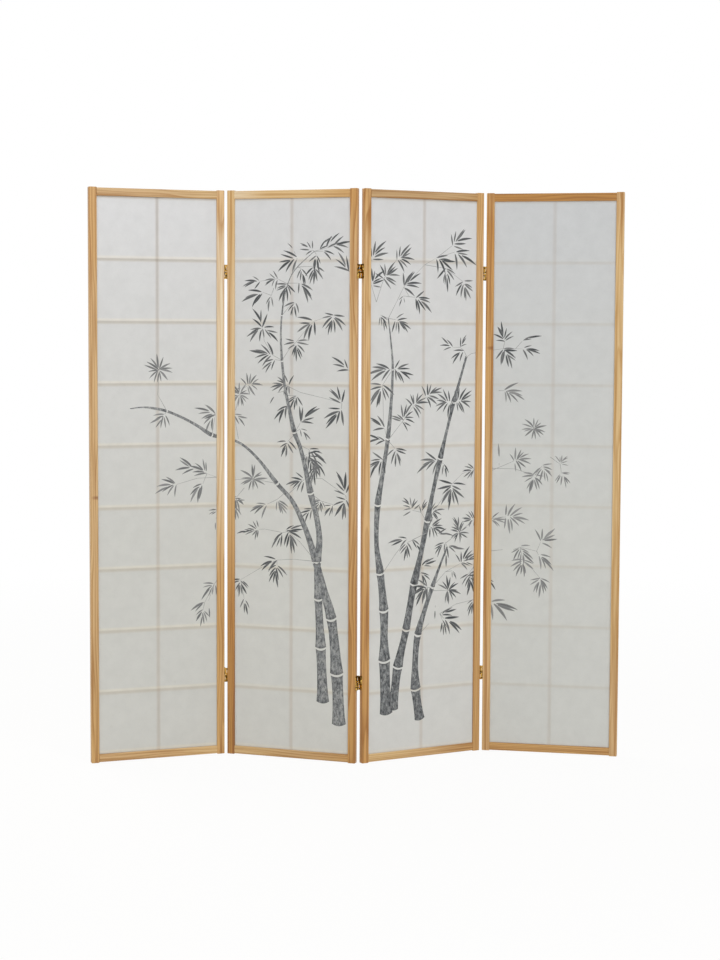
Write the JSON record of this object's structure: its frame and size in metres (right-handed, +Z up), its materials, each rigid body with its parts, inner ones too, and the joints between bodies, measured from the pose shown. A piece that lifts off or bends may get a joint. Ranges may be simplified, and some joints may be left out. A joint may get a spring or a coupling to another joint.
{
  "type": "folding screen",
  "caption": "Folding screen with pine frames, translucent paper over a shoji lattice, bamboo ink artwork and two-way brass hinges",
  "frame": {"origin": "Centre of the footprint box on the floor, in the half-folded pose of the picture", "axes": "+Z up, +Y to the back, +X to the right seen from the front"},
  "size_m": [1.6666, 0.2478, 1.79],
  "materials": {
    "pine": "clear satin lacquer",
    "paper": "matt translucent",
    "brass": "polished"
  },
  "bodies": {
    "panel_1": {"stile_left_1": "pine", "stile_right_1": "pine", "rail_top_1": "pine", "rail_bottom_1": "pine", "lattice_bars_1": "pine", "lattice_post_1": "pine", "paper_1": "paper", "hinge_pins_1": "brass", "hinge_screws_1": "brass", "hinge_12_top_left_leaf": "brass", "hinge_12_top_upper_link": "brass", "hinge_12_bottom_left_leaf": "brass", "hinge_12_bottom_upper_link": "brass"},
    "panel_2": {"stile_left_2": "pine", "stile_right_2": "pine", "rail_top_2": "pine", "rail_bottom_2": "pine", "lattice_bars_2": "pine", "lattice_post_2": "pine", "paper_2": "paper", "hinge_pins_2": "brass", "hinge_screws_2": "brass", "hinge_12_top_right_leaf": "brass", "hinge_12_top_lower_link": "brass", "hinge_12_bottom_right_leaf": "brass", "hinge_12_bottom_lower_link": "brass", "hinge_23_top_left_leaf": "brass", "hinge_23_top_lower_link": "brass", "hinge_23_bottom_left_leaf": "brass", "hinge_23_bottom_lower_link": "brass"},
    "panel_3": {"stile_left_3": "pine", "stile_right_3": "pine", "rail_top_3": "pine", "rail_bottom_3": "pine", "lattice_bars_3": "pine", "lattice_post_3": "pine", "paper_3": "paper", "hinge_pins_3": "brass", "hinge_screws_3": "brass", "hinge_23_top_right_leaf": "brass", "hinge_23_top_upper_link": "brass", "hinge_23_bottom_right_leaf": "brass", "hinge_23_bottom_upper_link": "brass", "hinge_34_top_left_leaf": "brass", "hinge_34_top_upper_link": "brass", "hinge_34_bottom_left_leaf": "brass", "hinge_34_bottom_upper_link": "brass"},
    "panel_4": {"stile_left_4": "pine", "stile_right_4": "pine", "rail_top_4": "pine", "rail_bottom_4": "pine", "lattice_bars_4": "pine", "lattice_post_4": "pine", "paper_4": "paper", "hinge_pins_4": "brass", "hinge_screws_4": "brass", "hinge_34_top_right_leaf": "brass", "hinge_34_top_lower_link": "brass", "hinge_34_bottom_right_leaf": "brass", "hinge_34_bottom_lower_link": "brass"}
  },
  "joints": [
    {"name": "fold_12", "type": "hinge", "parent": "panel_2", "child": "panel_1", "pos_m": [-0.4191, 0.03562, 0.895], "axis": [0, 0, 1], "range_deg": [-41, 139]},
    {"name": "fold_23", "type": "hinge", "parent": "panel_2", "child": "panel_3", "pos_m": [0.0045, -0.09529, 0.895], "axis": [0, 0, 1], "range_deg": [-48.5, 130.5]},
    {"name": "fold_34", "type": "hinge", "parent": "panel_3", "child": "panel_4", "pos_m": [0.40068, 0.10374, 0.895], "axis": [0, 0, -1], "range_deg": [-41, 139]}
  ]
}
